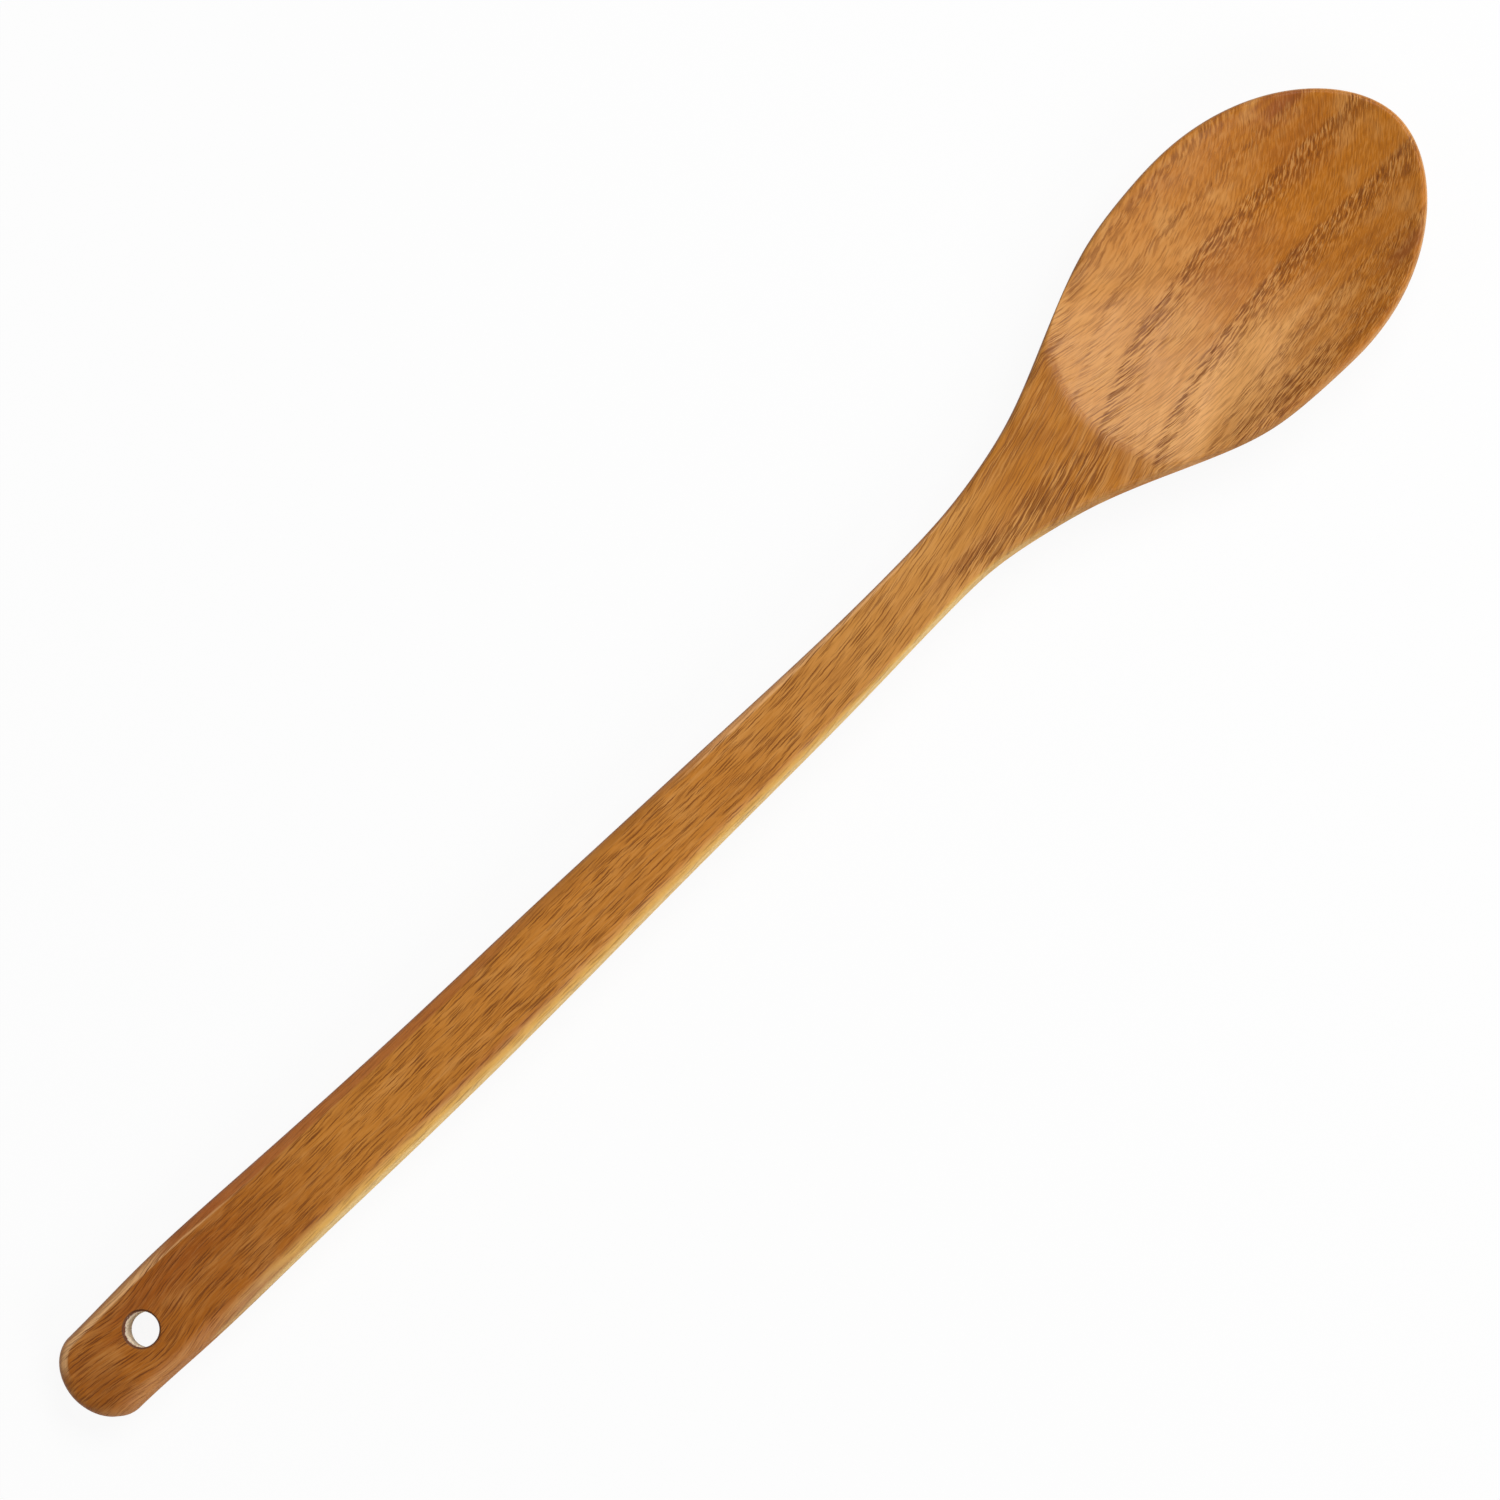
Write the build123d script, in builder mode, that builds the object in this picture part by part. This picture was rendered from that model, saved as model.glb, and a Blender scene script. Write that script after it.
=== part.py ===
from build123d import *
import os
from math import cos, radians, sqrt

# A long kitchen spoon, carved from one length of hardwood. The grain runs unbroken from the
# hanging hole through the neck into the bowl, so the whole spoon is one solid.
# +X runs from the hole end to the tip, +Z is up, and the spoon lies on the surface at zero,
# which the belly of the bowl and the underside of the hole end touch.

os.makedirs("parts", exist_ok=True)

# Sizes seen from above
overall_length = 356.0
bowl_width = 54.6
neck_width = 13.0
grip_width = 19.9
end_width = 18.9

# Places along the spoon
end_round_length = 7.4
grip_from_end = 26.0
neck_from_tip = 127.0
widest_from_tip = 38.5

# How far the middle of the handle and the tip wander sideways from the middle of the bowl
end_sway = 1.4
handle_sway = -1.2
tip_sway = 0.4

# Heights of the top above the surface that the spoon lies on
end_height = 8.7
neck_height = 13.3
rim_height = 12.8
tip_height = 12.9

# Thickness through the middle of the neck, and of the rim at the widest place and at the tip
neck_thickness = 9.1
rim_thickness = 4.5
tip_thickness = 4.2

# Wood sanded off the rounded underside where the spoon rests
belly_flat_depth = 0.25
end_flat_depth = 0.6

# The hollow of the bowl
hollow_depth = 7.4
hollow_length = 82.4
hollow_neck_width = 34.4
hollow_neck_radius = 26.0
rim_land = 1.2

# The hanging hole
hole_diameter = 7.0
hole_from_end = 19.0
hole_offset = 0.4

# Radii of the worn edges
top_edge_radius = 2.0
under_edge_radius = 1.6
hole_edge_radius = 0.4

# How far a cutting form reaches past the wood, and how many cross-sections shape one
overrun = 2.0
underside_sections = 17
hollow_contours = 8

# Shares along the handle, from the grip to the neck: place, width and sway
handle_shares = [
    (0.00, 1.00, 0.06),
    (0.12, 0.93, 0.27),
    (0.25, 0.81, 0.59),
    (0.37, 0.72, 0.78),
    (0.50, 0.61, 0.83),
    (0.63, 0.43, 0.88),
    (0.75, 0.28, 0.96),
    (0.88, 0.10, 1.00),
    (1.00, 0.00, 0.80),
]

# Shares along the flare, from the neck to the widest place of the bowl: place, width and sway
flare_shares = [
    (0.12, 0.020, 0.39),
    (0.25, 0.110, 0.48),
    (0.37, 0.245, 0.48),
    (0.50, 0.465, 0.40),
    (0.63, 0.710, 0.43),
    (0.75, 0.893, 0.44),
    (0.88, 0.977, 0.18),
    (1.00, 1.000, 0.00),
]

# Shares that set how full the tip is in plan, across and along
tip_round_shares = (0.44, 0.60)

# Share of the sanding under the hole end that is left at the grip
grip_flat_share = 0.7

# Share of the handle's rise that is reached at the middle of the handle
arch_share = 0.62

# Shares of the keel's rise, from the widest place to the neck and then to the tip
keel_to_neck_shares = [(0.25, 0.26), (0.50, 0.66)]
keel_to_tip_shares = [(0.35, 0.14), (0.70, 0.54)]

# Shares along each side of the hollow, from its neck corner to the widest place
hollow_side_shares = [(0.33, 0.60), (0.67, 0.91)]

end_x = -overall_length / 2
tip_x = overall_length / 2
grip_x = end_x + grip_from_end
neck_x = tip_x - neck_from_tip
widest_x = tip_x - widest_from_tip
grip_half = grip_width / 2
neck_half = neck_width / 2
bowl_half = bowl_width / 2


def blend(start, finish, share):
    """Returns the value that lies the given share of the way from start to finish."""
    return start + share * (finish - start)


def tip_side(reach, half, sway, side):
    """Returns the control points of one side of the tip, from the widest place to the middle."""
    across, along = tip_round_shares
    shoulder = (widest_x, side * half)
    full_side = (widest_x + along * reach, side * half)
    full_end = (widest_x + reach, sway + side * across * half)
    return shoulder, full_side, full_end, (widest_x + reach, sway)


# Middle and half width of the plan at the places that shape its sides
end_round_x = end_x + end_round_length
plan_rows = [(end_round_x, end_sway, end_width / 2)]
for place, width, sway in handle_shares:
    middle = blend(end_sway, handle_sway, sway)
    plan_rows.append((blend(grip_x, neck_x, place), middle, blend(neck_half, grip_half, width)))
for place, width, sway in flare_shares:
    middle = blend(0, handle_sway, sway)
    plan_rows.append((blend(neck_x, widest_x, place), middle, blend(neck_half, bowl_half, width)))

# Side elevation: the line of the top, and the keel line underneath, with height as Y
neck_keel = neck_height - neck_thickness
tip_keel = tip_height - tip_thickness
arch_x = (end_x + neck_x) / 2
top_points = [
    (end_x - overrun, end_height),
    (arch_x, blend(end_height, neck_height, arch_share)),
    (neck_x, neck_height),
    (widest_x, rim_height),
    (tip_x + overrun, tip_height),
]
keel_points = [
    (end_x - overrun, -end_flat_depth),
    (grip_x, -grip_flat_share * end_flat_depth),
    (arch_x, arch_share * neck_keel),
    (neck_x, neck_keel),
]
for place, rise in reversed(keel_to_neck_shares):
    keel_points.append((blend(widest_x, neck_x, place), blend(-belly_flat_depth, neck_keel, rise)))
keel_points.append((widest_x, -belly_flat_depth))
for place, rise in keel_to_tip_shares:
    keel_points.append((blend(widest_x, tip_x, place), blend(-belly_flat_depth, tip_keel, rise)))
keel_points.append((tip_x + overrun, tip_keel + under_edge_radius / 2))
keel_line = Spline(*keel_points)

# One side of the hollow, from the corner of its neck end to its widest place
hollow_tip_x = tip_x - rim_land
hollow_neck_x = hollow_tip_x - hollow_length
hollow_half = bowl_half - rim_land
corner_half = hollow_neck_width / 2
corner_rise = sqrt(hollow_neck_radius**2 - corner_half**2)
corner_x = hollow_neck_x + hollow_neck_radius - corner_rise
hollow_side = [(corner_x, corner_half)]
for place, width in hollow_side_shares:
    hollow_side.append((blend(corner_x, widest_x, place), blend(corner_half, hollow_half, width)))
hollow_side.append((widest_x, hollow_half))

with BuildPart() as spoon:
    # Underside: one rounded form, set higher or lower along the keel line
    belly_rise = rim_height - rim_thickness + belly_flat_depth
    underside_radius = (bowl_half**2 + belly_rise**2) / (2 * belly_rise)
    reach = bowl_half + overrun
    side_rise = underside_radius - sqrt(underside_radius**2 - reach**2)
    ceiling = 2 * neck_height + side_rise
    spacing = (overall_length + 2 * overrun) / (underside_sections - 1)
    for i in range(underside_sections):
        x = min(end_x - overrun + i * spacing, tip_x + overrun)
        keel = keel_line.find_intersection_points(Axis((x, 0, 0), (0, 1, 0)))[0].Y
        with BuildSketch(Plane.YZ.offset(x)):
            with BuildLine():
                Line((reach, keel + side_rise), (reach, ceiling))
                Line((reach, ceiling), (-reach, ceiling))
                Line((-reach, ceiling), (-reach, keel + side_rise))
                ThreePointArc((-reach, keel + side_rise), (0, keel), (reach, keel + side_rise))
            make_face()
    loft()

    # Outline from above, cut straight down
    with BuildSketch(Plane.XY.offset(-overrun)):
        with BuildLine():
            for side in (1, -1):
                edge = [(x, middle + side * half) for x, middle, half in plan_rows]
                Spline(*edge, tangents=[(1, 0), (1, 0)])
            end_centre = (end_round_x, end_sway)
            EllipticalCenterArc(end_centre, end_round_length, end_width / 2, 90, arc_size=180)
            for side in (1, -1):
                Bezier(*tip_side(widest_from_tip, bowl_half, tip_sway, side))
        make_face()
    extrude(amount=overrun + ceiling, mode=Mode.INTERSECT)

    # Top line from the side, cut straight across
    with BuildSketch(Plane.XZ.offset(reach)):
        with BuildLine():
            Spline(*top_points)
            Line(top_points[-1], (tip_x + overrun, -overrun))
            Line((tip_x + overrun, -overrun), (end_x - overrun, -overrun))
            Line((end_x - overrun, -overrun), top_points[0])
        make_face()
    extrude(amount=-2 * reach, mode=Mode.INTERSECT)

    # Worn edges round the top and the underside
    top_face = spoon.faces().sort_by(Axis.Z)[-1]
    fillet(top_face.outer_wire().edges(), top_edge_radius)
    under_face = spoon.faces().sort_by(Axis.Z)[0]
    fillet(under_face.outer_wire().edges(), under_edge_radius)

    # Flats that the spoon rests on
    split(bisect_by=Plane.XY, keep=Keep.TOP)

    # Hollow of the bowl: one outline, smaller and smaller on the way down
    above_share = sqrt(1 + (neck_height + overrun - rim_height) / hollow_depth)
    shares = [above_share] + [cos(radians(90 * i / hollow_contours)) for i in range(hollow_contours)]
    for share in shares:
        with BuildSketch(Plane.XY.offset(rim_height - hollow_depth * (1 - share**2))):
            with BuildLine():
                corners = []
                for side in (1, -1):
                    edge = [(blend(widest_x, x, share), side * y * share) for x, y in hollow_side]
                    corners.append(edge[0])
                    Spline(*edge, tangents=[(corner_half, side * corner_rise), (1, 0)])
                    tip_reach = share * (hollow_tip_x - widest_x)
                    Bezier(*tip_side(tip_reach, share * hollow_half, share * tip_sway, side))
                ThreePointArc(corners[0], (blend(widest_x, hollow_neck_x, share), 0), corners[1])
            make_face()
    loft(mode=Mode.SUBTRACT)

    # Hanging hole
    with Locations((end_x + hole_from_end, end_sway + hole_offset, ceiling)):
        Hole(hole_diameter / 2)
    bore = spoon.faces().filter_by(GeomType.CYLINDER).sort_by(Axis.X)[0]
    fillet(bore.edges().filter_by(GeomType.LINE, reverse=True), hole_edge_radius)

spoon.part.label = "spoon"
export_step(spoon.part, "parts/spoon.step")
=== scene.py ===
"""A long wooden kitchen spoon, carved from one length of hardwood, on a pale studio floor."""

import logging
import math
from dataclasses import dataclass, field
from enum import Enum, IntEnum
from typing import Callable, Optional, Sequence, Union

import bmesh
import bpy
import numpy as np
from bmesh.types import BMEdge, BMesh, BMVert
from mathutils import Matrix, Vector


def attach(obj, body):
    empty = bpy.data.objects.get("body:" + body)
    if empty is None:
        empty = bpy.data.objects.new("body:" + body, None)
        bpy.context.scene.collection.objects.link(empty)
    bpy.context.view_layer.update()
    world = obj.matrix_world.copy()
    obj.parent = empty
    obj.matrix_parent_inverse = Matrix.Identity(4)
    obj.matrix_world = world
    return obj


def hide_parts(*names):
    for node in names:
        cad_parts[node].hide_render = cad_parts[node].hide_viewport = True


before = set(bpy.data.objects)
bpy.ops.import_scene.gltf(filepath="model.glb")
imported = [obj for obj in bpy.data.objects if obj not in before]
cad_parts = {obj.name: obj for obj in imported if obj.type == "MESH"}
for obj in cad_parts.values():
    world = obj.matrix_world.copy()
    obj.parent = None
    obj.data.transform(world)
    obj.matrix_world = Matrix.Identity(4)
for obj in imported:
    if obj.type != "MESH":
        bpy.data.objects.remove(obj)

logging.basicConfig(level=logging.INFO, format="%(levelname)s %(message)s")
log = logging.getLogger("spoon")

Number = Union[int, float]
Array = np.ndarray
Measure = Union[float, Array]
Pair = tuple[float, float]
Pairs = tuple[Pair, ...]
Triple = tuple[float, float, float]
Colour = Triple
Span = Pair
Zone = tuple[float, float, float, float]

# One millimetre, and the distance within which points are merged, in metres
MM = 0.001
MERGE_DISTANCE = 1e-7

# Length in millimetres that counts as nothing
TINY = 1e-6

# Slopes of a line that runs level at both its ends
LEVEL = (0.0, 0.0)


class Side(Enum):
    """The two long sides of the spoon, seen from above with the bowl to the right."""

    LEFT = 1
    RIGHT = -1


class Face(Enum):
    """The two broad faces of the spoon."""

    UPPER = 1
    LOWER = -1


class Column(IntEnum):
    """What each column of a ring holds: place, distance from the outline, edge share and fall."""

    X = 0
    Y = 1
    Z = 2
    AWAY = 3
    EDGE = 4
    FALL = 5


# Curves


def cubic_line(
    knots: Sequence[float],
    values: Sequence[float],
    places: Array,
    end_slopes: Optional[Pair] = None,
) -> Array:
    """Reads a smooth cubic line that passes through given points.

    Args:
        knots: Rising places of the points.
        values: Heights of the points.
        places: Where to read the line.
        end_slopes: Slopes at the two ends; without them the ends are free.

    Returns:
        The line's height at each of the places.
    """
    t, v = np.asarray(knots, float), np.asarray(values, float)
    gap, step = np.diff(t), np.diff(v) / np.diff(t)
    count = len(t)
    rows, right = np.zeros((count, count)), np.zeros(count)
    for i in range(1, count - 1):
        rows[i, i - 1 : i + 2] = gap[i - 1], 2 * (gap[i - 1] + gap[i]), gap[i]
        right[i] = 6 * (step[i] - step[i - 1])
    if end_slopes is None:
        rows[0, 0] = rows[-1, -1] = 1.0
    else:
        rows[0, :2] = 2 * gap[0], gap[0]
        rows[-1, -2:] = gap[-1], 2 * gap[-1]
        right[0] = 6 * (step[0] - end_slopes[0])
        right[-1] = 6 * (end_slopes[1] - step[-1])
    bend = np.linalg.solve(rows, right)
    i = np.clip(np.searchsorted(t, places) - 1, 0, count - 2)
    left, width = places - t[i], gap[i]
    slope = step[i] - width * (2 * bend[i] + bend[i + 1]) / 6
    return v[i] + left * (slope + left * (bend[i] / 2 + left * (bend[i + 1] - bend[i]) / (6 * width)))


def soft_min(a: Array, b: Array, softness: float) -> Array:
    """Returns the lower of two surfaces, with their crossing rounded."""
    return -softness * np.logaddexp(-a / softness, -b / softness)


def soft_step(low: float, high: float, value: Array) -> Array:
    """Returns 0 below low, 1 above high, and an even rise between them."""
    share = np.clip((value - low) / (high - low), 0.0, 1.0)
    return share * share * (3 - 2 * share)


def blend(start: Measure, finish: Measure, share: Measure) -> Measure:
    """Returns the value that lies the given share of the way from start to finish."""
    return start + share * (finish - start)


def running_sum(steps: Array) -> Array:
    """Returns how far along a line its points lie, from the steps between them."""
    return np.concatenate([[0.0], np.cumsum(steps)])


# The spoon's form


@dataclass
class SpoonForm:
    """Sizes of the spoon in millimetres, and the lines and surfaces that they give.

    +X runs from the hole end to the tip, +Z is up, and the spoon lies at height zero. The shares
    along the handle and the flare are rows of place, width and sway, and other shares are rows of
    place and height or width.
    """

    overall_length: float = 356.0
    bowl_width: float = 54.6
    neck_width: float = 13.0
    grip_width: float = 19.9
    end_width: float = 18.9
    end_round_length: float = 7.4
    grip_from_end: float = 26.0
    neck_from_tip: float = 127.0
    widest_from_tip: float = 38.5
    end_sway: float = 1.4
    handle_sway: float = -1.2
    tip_sway: float = 0.4
    end_height: float = 8.7
    neck_height: float = 13.3
    rim_height: float = 12.8
    tip_height: float = 12.9
    neck_thickness: float = 9.1
    rim_thickness: float = 4.5
    tip_thickness: float = 4.2
    belly_flat_depth: float = 0.25
    end_flat_depth: float = 0.6
    hollow_depth: float = 7.4
    hollow_length: float = 82.4
    hollow_neck_width: float = 34.4
    hollow_neck_radius: float = 26.0
    rim_land: float = 1.2
    hole_diameter: float = 7.0
    hole_from_end: float = 19.0
    hole_offset: float = 0.4
    hole_edge_radius: float = 0.4
    under_edge_radius: float = 1.6
    overrun: float = 2.0
    handle_shares: tuple[Triple, ...] = (
        (0.00, 1.00, 0.06), (0.12, 0.93, 0.27), (0.25, 0.81, 0.59), (0.37, 0.72, 0.78), (0.50, 0.61, 0.83),
        (0.63, 0.43, 0.88), (0.75, 0.28, 0.96), (0.88, 0.10, 1.00), (1.00, 0.00, 0.80),
    )
    flare_shares: tuple[Triple, ...] = (
        (0.12, 0.020, 0.39), (0.25, 0.110, 0.48), (0.37, 0.245, 0.48), (0.50, 0.465, 0.40),
        (0.63, 0.710, 0.43), (0.75, 0.893, 0.44), (0.88, 0.977, 0.18), (1.00, 1.000, 0.00),
    )
    tip_round_shares: Pair = (0.44, 0.60)
    grip_flat_share: float = 0.7
    arch_share: float = 0.62
    keel_to_neck_shares: Pairs = ((0.25, 0.26), (0.50, 0.66))
    keel_to_tip_shares: Pairs = ((0.35, 0.14), (0.70, 0.54))
    hollow_side_shares: Pairs = ((0.33, 0.60), (0.67, 0.91))
    hollow_limit: float = 3.0
    crease: float = 0.14
    flat_softness: float = 0.03
    corner_samples: int = 120
    side_samples: int = 200

    def __post_init__(self) -> None:
        """Works out the places and lines that the methods read."""
        self.end_x = -self.overall_length / 2
        self.tip_x = self.overall_length / 2
        self.grip_x = self.end_x + self.grip_from_end
        self.neck_x = self.tip_x - self.neck_from_tip
        self.widest_x = self.tip_x - self.widest_from_tip
        self.end_round_x = self.end_x + self.end_round_length
        self.arch_x = (self.end_x + self.neck_x) / 2
        self.bowl_half = self.bowl_width / 2
        self.hole_x = self.end_x + self.hole_from_end
        self.hole_y = self.end_sway + self.hole_offset
        self.hole_radius = self.hole_diameter / 2
        self._set_plan()
        self._set_side_lines()
        self._set_hollow()

    def _set_plan(self) -> None:
        """Works out the middle and half width at the places that shape the plan."""
        neck_half = self.neck_width / 2
        rows = [(self.end_round_x, self.end_sway, self.end_width / 2)]
        for shares, start, finish, half, sway in (
            (self.handle_shares, self.grip_x, self.neck_x, self.grip_width / 2, self.end_sway),
            (self.flare_shares, self.neck_x, self.widest_x, self.bowl_half, 0.0),
        ):
            for place, width, wander in shares:
                middle = blend(sway, self.handle_sway, wander)
                rows.append((blend(start, finish, place), middle, blend(neck_half, half, width)))
        self.plan = np.array(rows)

    def _set_side_lines(self) -> None:
        """Works out the points of the top line and of the keel line."""
        neck_keel = self.neck_height - self.neck_thickness
        tip_keel = self.tip_height - self.tip_thickness
        belly_keel = -self.belly_flat_depth
        self.top_points = np.array([
            (self.end_x - self.overrun, self.end_height),
            (self.arch_x, blend(self.end_height, self.neck_height, self.arch_share)),
            (self.neck_x, self.neck_height),
            (self.widest_x, self.rim_height),
            (self.tip_x + self.overrun, self.tip_height),
        ])
        keel = [
            (self.end_x - self.overrun, -self.end_flat_depth),
            (self.grip_x, -self.grip_flat_share * self.end_flat_depth),
            (self.arch_x, self.arch_share * neck_keel),
            (self.neck_x, neck_keel),
        ]
        for place, rise in reversed(self.keel_to_neck_shares):
            keel.append((blend(self.widest_x, self.neck_x, place), blend(belly_keel, neck_keel, rise)))
        keel.append((self.widest_x, belly_keel))
        for place, rise in self.keel_to_tip_shares:
            keel.append((blend(self.widest_x, self.tip_x, place), blend(belly_keel, tip_keel, rise)))
        keel.append((self.tip_x + self.overrun, tip_keel + self.under_edge_radius / 2))
        self.keel_points = np.array(keel)
        belly_rise = self.rim_height - self.rim_thickness - belly_keel
        self.under_radius = (self.bowl_half**2 + belly_rise**2) / (2 * belly_rise)

    def _set_hollow(self) -> None:
        """Works out how far the hollow's outline lies from its deepest place, all the way round."""
        tip_x = self.tip_x - self.rim_land
        half = self.bowl_half - self.rim_land
        radius, corner_half = self.hollow_neck_radius, self.hollow_neck_width / 2
        rise = math.sqrt(radius**2 - corner_half**2)
        centre_x = tip_x - self.hollow_length + radius
        corner_x = centre_x - rise
        corner_turn = math.asin(corner_half / radius)
        turn = np.linspace(-corner_turn, corner_turn, self.corner_samples)
        lines = [np.column_stack([centre_x - radius * np.cos(turn), radius * np.sin(turn)])]
        knots, widths = [corner_x], [corner_half]
        for place, share in self.hollow_side_shares:
            knots.append(blend(corner_x, self.widest_x, place))
            widths.append(blend(corner_half, half, share))
        knots.append(self.widest_x)
        widths.append(half)
        x = np.linspace(corner_x, self.widest_x, self.side_samples)[1:]
        y = cubic_line(knots, widths, x, (rise / corner_half, 0.0))
        t = np.linspace(0, 1, self.side_samples)[1:]
        for side in Side:
            lines.append(np.column_stack([x, side.value * y]))
            lines.append(self.tip_side(tip_x - self.widest_x, half, side, t))
        line = np.vstack(lines)
        turn = np.arctan2(line[:, 1], line[:, 0] - self.widest_x)
        order = np.argsort(turn)
        self.hollow_turns = turn[order]
        self.hollow_reach = np.hypot(line[order, 0] - self.widest_x, line[order, 1])

    def tip_side(self, reach: float, half: float, side: Side, t: Array) -> Array:
        """Returns points on one side of a rounded tip.

        Args:
            reach: Length of the tip past the widest place.
            half: Half width at the widest place.
            side: Which side of the spoon.
            t: Places along the line, 0 at the widest place and 1 at the tip.

        Returns:
            One row of x and y for each place.
        """
        across, along = self.tip_round_shares
        y = side.value * half
        points = np.array([
            (self.widest_x, y),
            (self.widest_x + along * reach, y),
            (self.widest_x + reach, self.tip_sway * half / self.bowl_half + across * y),
            (self.widest_x + reach, self.tip_sway * half / self.bowl_half),
        ])
        t = t[:, None]
        weights = np.hstack([(1 - t) ** 3, 3 * t * (1 - t) ** 2, 3 * t * t * (1 - t), t**3])
        return weights @ points

    def middle(self, x: Array) -> Array:
        """Returns the sideways place of the plan's middle."""
        places = np.clip(x, self.end_round_x, self.widest_x)
        return cubic_line(self.plan[:, 0], self.plan[:, 1], places, LEVEL)

    def side_line(self, x: Array, side: Side) -> Array:
        """Returns the sideways place of one side between the end's rounding and the widest place."""
        edge = self.plan[:, 1] + side.value * self.plan[:, 2]
        return cubic_line(self.plan[:, 0], edge, x, LEVEL)

    def top_line(self, x: Array) -> Array:
        """Returns the height of the top along the spoon."""
        return cubic_line(self.top_points[:, 0], self.top_points[:, 1], x)

    def underside(self, x: Array, y: Array) -> Array:
        """Returns the height of the rounded underside, with its two flats."""
        keel = cubic_line(self.keel_points[:, 0], self.keel_points[:, 1], x)
        height = keel + self.under_radius - np.sqrt(self.under_radius**2 - y**2)
        return -soft_min(-height, np.zeros_like(height), self.flat_softness)

    def hollow_share(self, x: Array, y: Array) -> Array:
        """Returns 0 at the hollow's deepest place, 1 on its outline and more outside it."""
        turn = np.arctan2(y, x - self.widest_x)
        reach = np.interp(turn, self.hollow_turns, self.hollow_reach, period=2 * math.pi)
        return np.hypot(x - self.widest_x, y) / reach

    def hollow(self, x: Array, y: Array) -> Array:
        """Returns the height of the hollow's surface, which rises on outside its outline."""
        share = np.minimum(self.hollow_share(x, y), self.hollow_limit)
        return self.rim_height - self.hollow_depth * (1 - share**2)


@dataclass
class WornEdges:
    """The worn edges round the upper face, which are wider and flatter along the handle.

    A size is the edge's width, its drop and how flat it is, from 0 for a round edge to 1. A span
    is where the size changes along the spoon, in millimetres from the hole end.
    """

    left_end: Triple = (2.0, 1.75, 0.95)
    left: Triple = (2.7, 1.75, 0.95)
    left_neck: Triple = (2.1, 1.75, 0.5)
    right_end: Triple = (3.6, 2.6, 0.25)
    right: Triple = (2.7, 2.6, 0.25)
    round_end: Triple = (2.4, 1.9, 0.0)
    bowl: Triple = (1.2, 1.4, 0.0)
    corner: float = 0.7
    corner_share: float = 0.8
    bevel_softness: float = 0.03
    left_span: Span = (15.0, 60.0)
    right_span: Span = (40.0, 120.0)
    neck_span: Span = (95.0, 165.0)
    bowl_span: Span = (150.0, 235.0)

    def at(self, x: Array, side: Array, form: SpoonForm) -> Array:
        """Works out the edge's size at places along the outline.

        Args:
            x: Places along the spoon.
            side: 1 on the left, -1 on the right, and between them round the ends.
            form: The spoon's form.

        Returns:
            Three rows: the edge's width, its drop, and how flat it is.
        """

        def change(start: Array, finish: Triple, span: Span) -> Array:
            """Returns the edge's size where it changes from start to finish over a span."""
            return blend(start, np.array([finish]).T, soft_step(*span, x - form.end_x))

        left = change(np.array([self.left_end]).T, self.left, self.left_span)
        left = change(left, self.left_neck, self.neck_span)
        right = change(np.array([self.right_end]).T, self.right, self.right_span)
        on_left, on_right = np.clip(side, 0, 1), np.clip(-side, 0, 1)
        ends = (1 - on_left - on_right) * np.array([self.round_end]).T
        return change(on_left * left + on_right * right + ends, self.bowl, self.bowl_span)

    def lowering(self, distance: Array, width: Array, drop: Array, flat: Array) -> Array:
        """Works out how far the edge lies below the face.

        Args:
            distance: Distance inwards from the outline.
            width: The edge's width.
            drop: How far it lies below the face at the outline.
            flat: How flat it is, from 0 for a round one to 1.

        Returns:
            The depth below the face.
        """
        inside = 1 - distance / width
        round_edge = drop * (1 - np.sqrt(1 - np.clip(inside, 0, 1) ** 2))
        bevel = drop * self.bevel_softness * np.logaddexp(0, inside / self.bevel_softness)
        near = np.clip(1 - distance / self.corner, 0, 1)
        corner = self.corner_share * self.corner * (1 - np.sqrt(1 - near**2))
        return blend(round_edge, bevel + corner, flat)


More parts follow.
